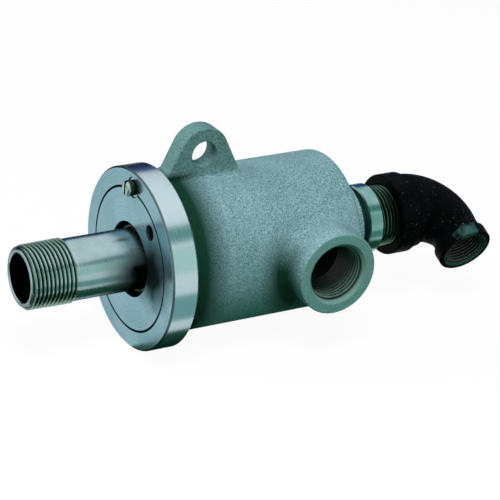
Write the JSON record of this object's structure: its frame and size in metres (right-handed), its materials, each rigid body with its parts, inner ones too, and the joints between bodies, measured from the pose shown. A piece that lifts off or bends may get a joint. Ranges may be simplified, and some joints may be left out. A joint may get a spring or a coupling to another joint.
{
  "type": "hydraulic rotary union",
  "caption": "Rotary union: a hollow rotor with a pipe thread turns in a flanged cast housing with a side port, a lifting lug and a rear pipe elbow.",
  "frame": {"origin": "on the rotor axis at the hand-tight plane of the rotor's pipe thread, 10.16 mm inside its threaded end", "axes": "+X along the rotor axis from the threaded end to the rear elbow, -Y out of the side port, +Z towards the lifting lug"},
  "size_m": [0.2651, 0.1029, 0.1156],
  "materials": {
    "cast_body": "sand-cast, machined flange",
    "turned_steel": "turned",
    "screw_steel": "machined",
    "seal_rubber": "matt",
    "bearing_steel": "ground",
    "spring_steel": "drawn wire",
    "adaptor_steel": "turned",
    "black_iron": "black, rough gloss",
    "rotor_steel": "ground shaft",
    "seat_steel": "lapped",
    "cage_brass": "machined",
    "seal_carbon": "lapped graphite"
  },
  "bodies": {
    "stator": {"housing": "cast_body", "bearing_retainer": "turned_steel", "lock_screw": "screw_steel", "lock_washer": "screw_steel", "dust_seal": "seal_rubber", "front_outer_ring": "bearing_steel", "rear_outer_ring": "bearing_steel", "outer_spacer": "turned_steel", "seal_spring": "spring_steel", "seal_pins": "bearing_steel", "rear_adaptor": "adaptor_steel", "elbow": "black_iron"},
    "rotor_group": {"rotor": "rotor_steel", "front_inner_ring": "bearing_steel", "rear_inner_ring": "bearing_steel", "inner_spacer": "turned_steel", "rotor_snap_ring": "spring_steel", "seal_seat": "seat_steel", "seat_seal_ring": "seal_rubber"},
    "front_ball_set": {"front_cage": "cage_brass", "front_balls": "bearing_steel"},
    "rear_ball_set": {"rear_cage": "cage_brass", "rear_balls": "bearing_steel"},
    "floating_face": {"floating_seal": "seal_carbon", "tail_seal_ring": "seal_rubber"}
  },
  "joints": [
    {"name": "rotor_spin", "type": "hinge", "parent": "stator", "child": "rotor_group", "pos_m": [0, 0, 0], "axis": [1, 0, 0], "continuous": true},
    {"name": "front_cage_spin", "type": "hinge", "parent": "stator", "child": "front_ball_set", "pos_m": [0.07204, 0, 0], "axis": [1, 0, 0], "continuous": true},
    {"name": "rear_cage_spin", "type": "hinge", "parent": "stator", "child": "rear_ball_set", "pos_m": [0.09504, 0, 0], "axis": [1, 0, 0], "continuous": true},
    {"name": "seal_float", "type": "slide", "parent": "stator", "child": "floating_face", "axis": [1, 0, 0], "range_m": [0, 0.0014], "stiffness_N_per_m": 4000, "springref_m": -0.004, "deforming": ["seal_spring"]}
  ],
  "couplings": [
    {"joint": "front_cage_spin", "follows": "rotor_spin", "ratio": 0.39615},
    {"joint": "rear_cage_spin", "follows": "rotor_spin", "ratio": 0.39615}
  ]
}
